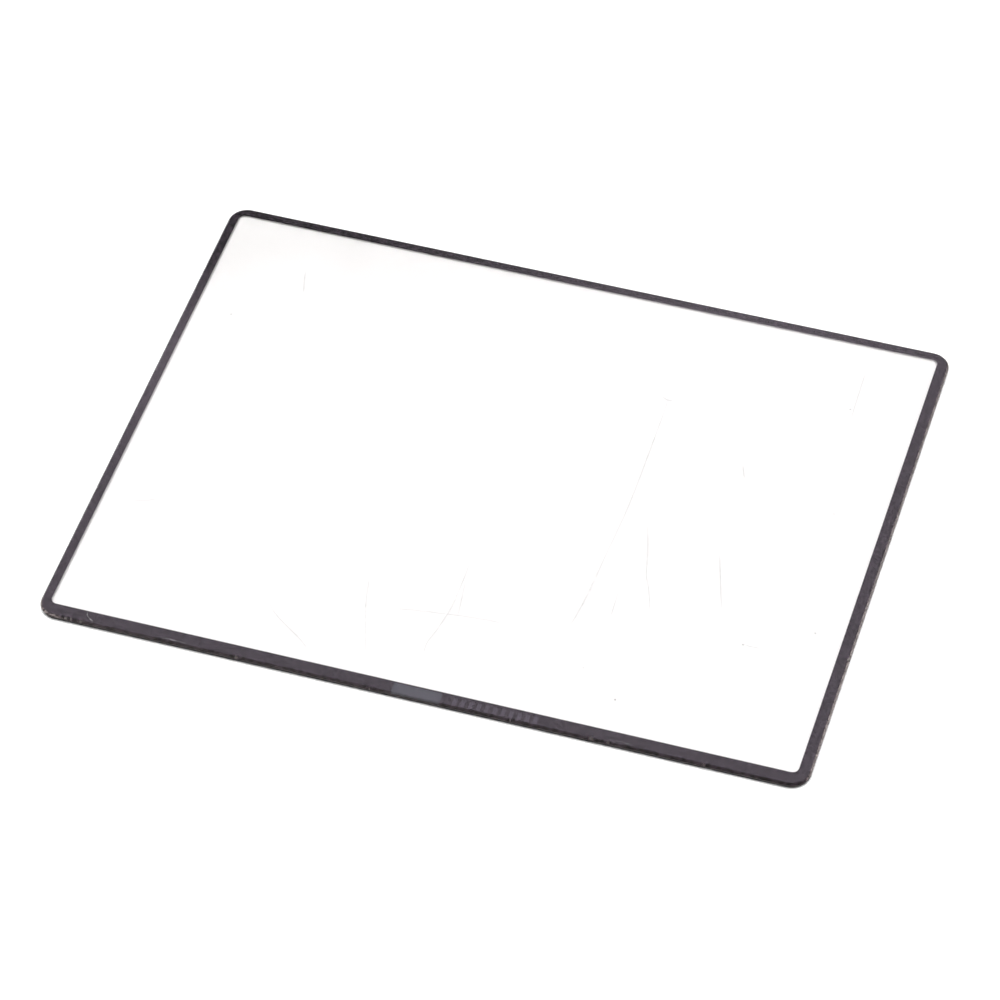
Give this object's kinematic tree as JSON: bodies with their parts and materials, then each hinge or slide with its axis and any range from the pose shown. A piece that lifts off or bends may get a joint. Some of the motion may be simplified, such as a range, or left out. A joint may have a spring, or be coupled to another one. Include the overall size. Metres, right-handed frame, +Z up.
{
  "type": "camera monitor glass protector",
  "caption": "Thin bevelled glass plate with a dark printed border, safety film and tape frame, between a peel-off liner and a peel-off face film.",
  "frame": {"origin": "middle of the underside of the release liner, on the surface that the protector lies on", "axes": "+X along the front edge to the right, +Y towards the back edge, +Z up, out of the face of the glass; the front edge has the widest border and the marks"},
  "size_m": [0.075, 0.0576, 0.0007],
  "materials": {
    "liner": "clear film, satin",
    "tape": "dark foam-free tape, matte",
    "safety_film": "clear film, gloss",
    "optical_adhesive": "clear adhesive",
    "dark_ink": "screen-printed ink",
    "pale_ink": "screen-printed ink",
    "glass": "polished, with a ground bevel",
    "face_film": "clear film, gloss, lightly scuffed"
  },
  "bodies": {
    "liner": {"release_liner": "liner"},
    "protector": {"adhesive_frame": "tape", "safety_film": "safety_film", "optical_adhesive": "optical_adhesive", "border_print": "dark_ink", "maker_bar": "pale_ink", "code_dashes": "pale_ink", "glass_plate": "glass"},
    "cover": {"face_film": "face_film"}
  },
  "joints": [
    {"name": "protector_lift", "type": "slide", "parent": "liner", "child": "protector", "axis": [0, 0, 1], "range_m": [0, 0.03]},
    {"name": "face_film_lift", "type": "slide", "parent": "protector", "child": "cover", "axis": [0, 0, 1], "range_m": [0, 0.03]}
  ]
}
